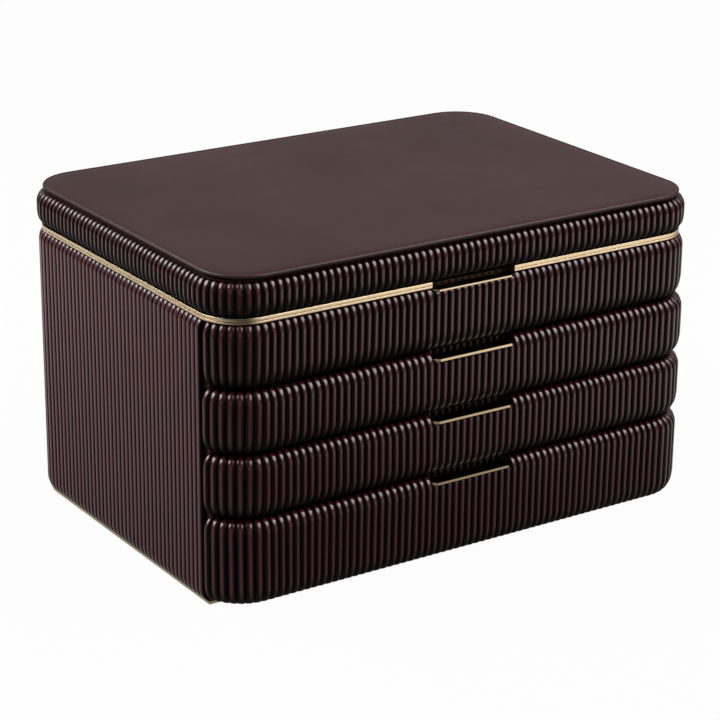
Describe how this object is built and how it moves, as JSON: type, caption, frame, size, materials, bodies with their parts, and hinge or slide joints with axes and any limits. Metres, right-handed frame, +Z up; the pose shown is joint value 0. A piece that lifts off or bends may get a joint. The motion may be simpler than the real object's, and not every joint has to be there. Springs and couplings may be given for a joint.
{
  "type": "jewellery box with lid and drawers",
  "caption": "Jewellery box in pleated leather with brass trim: a hinged lid with a mirror over a ring tray, and sliding drawers below, each opened by a brass finger notch.",
  "frame": {"origin": "middle of the felt-covered underside, below the middle of the brass seam's outline", "axes": "+X to the box's right along its width, -Y out of the drawer fronts, +Z up"},
  "size_m": [0.336, 0.2436, 0.1967],
  "materials": {
    "pleated_leather": "glossy pleated calf leather, dark oxblood",
    "smooth_leather": "smooth satin calf leather, dark oxblood",
    "brass": "polished",
    "hinge_brass": "satin",
    "wood_core": "dark stained, satin",
    "drawer_wood": "dark stained, satin",
    "suede": "short-napped suede cloth",
    "mirror_glass": "silvered",
    "felt": "thin wool felt"
  },
  "bodies": {
    "case": {"base_felt": "felt", "base_frame": "brass", "base_board": "wood_core", "side_panel_left": "wood_core", "side_panel_right": "wood_core", "rear_posts": "wood_core", "back_panel": "wood_core", "shelf_lower": "wood_core", "shelf_upper": "wood_core", "tray_floor": "wood_core", "tray_front": "wood_core", "tray_cover": "pleated_leather", "tray_ledge": "brass", "body_cover": "pleated_leather", "body_rim": "brass", "tray_lining": "suede", "tray_insert": "suede", "ring_rolls": "suede", "drawer_stops": "felt", "glide_strips": "felt", "case_hinge_left": "hinge_brass", "case_hinge_right": "hinge_brass", "case_hinge_screws": "hinge_brass", "hinge_pins": "hinge_brass"},
    "lid": {"lid_rim": "brass", "lid_frame": "wood_core", "lid_board": "wood_core", "lid_panel": "smooth_leather", "lid_band": "pleated_leather", "lid_lining": "suede", "mirror": "mirror_glass", "mirror_frame": "smooth_leather", "lid_hinge_left": "hinge_brass", "lid_hinge_right": "hinge_brass", "lid_hinge_screws": "hinge_brass"},
    "drawer_1": {"drawer_1_front": "wood_core", "drawer_1_cover": "pleated_leather", "drawer_1_pull": "brass", "drawer_1_side_left": "drawer_wood", "drawer_1_side_right": "drawer_wood", "drawer_1_back": "drawer_wood", "drawer_1_bottom": "drawer_wood", "drawer_1_insert": "suede"},
    "drawer_2": {"drawer_2_front": "wood_core", "drawer_2_cover": "pleated_leather", "drawer_2_pull": "brass", "drawer_2_side_left": "drawer_wood", "drawer_2_side_right": "drawer_wood", "drawer_2_back": "drawer_wood", "drawer_2_bottom": "drawer_wood", "drawer_2_insert": "suede"},
    "drawer_3": {"drawer_3_front": "wood_core", "drawer_3_cover": "pleated_leather", "drawer_3_pull": "brass", "drawer_3_side_left": "drawer_wood", "drawer_3_side_right": "drawer_wood", "drawer_3_back": "drawer_wood", "drawer_3_bottom": "drawer_wood", "drawer_3_insert": "suede"}
  },
  "joints": [
    {"name": "lid_hinge", "type": "hinge", "parent": "case", "child": "lid", "pos_m": [0, 0.1203, 0.1703], "axis": [-1, 0, 0], "range_deg": [0, 98]},
    {"name": "drawer_1_slide", "type": "slide", "parent": "case", "child": "drawer_1", "axis": [0, -1, 0], "range_m": [0, 0.15]},
    {"name": "drawer_2_slide", "type": "slide", "parent": "case", "child": "drawer_2", "axis": [0, -1, 0], "range_m": [0, 0.15]},
    {"name": "drawer_3_slide", "type": "slide", "parent": "case", "child": "drawer_3", "axis": [0, -1, 0], "range_m": [0, 0.15]}
  ]
}
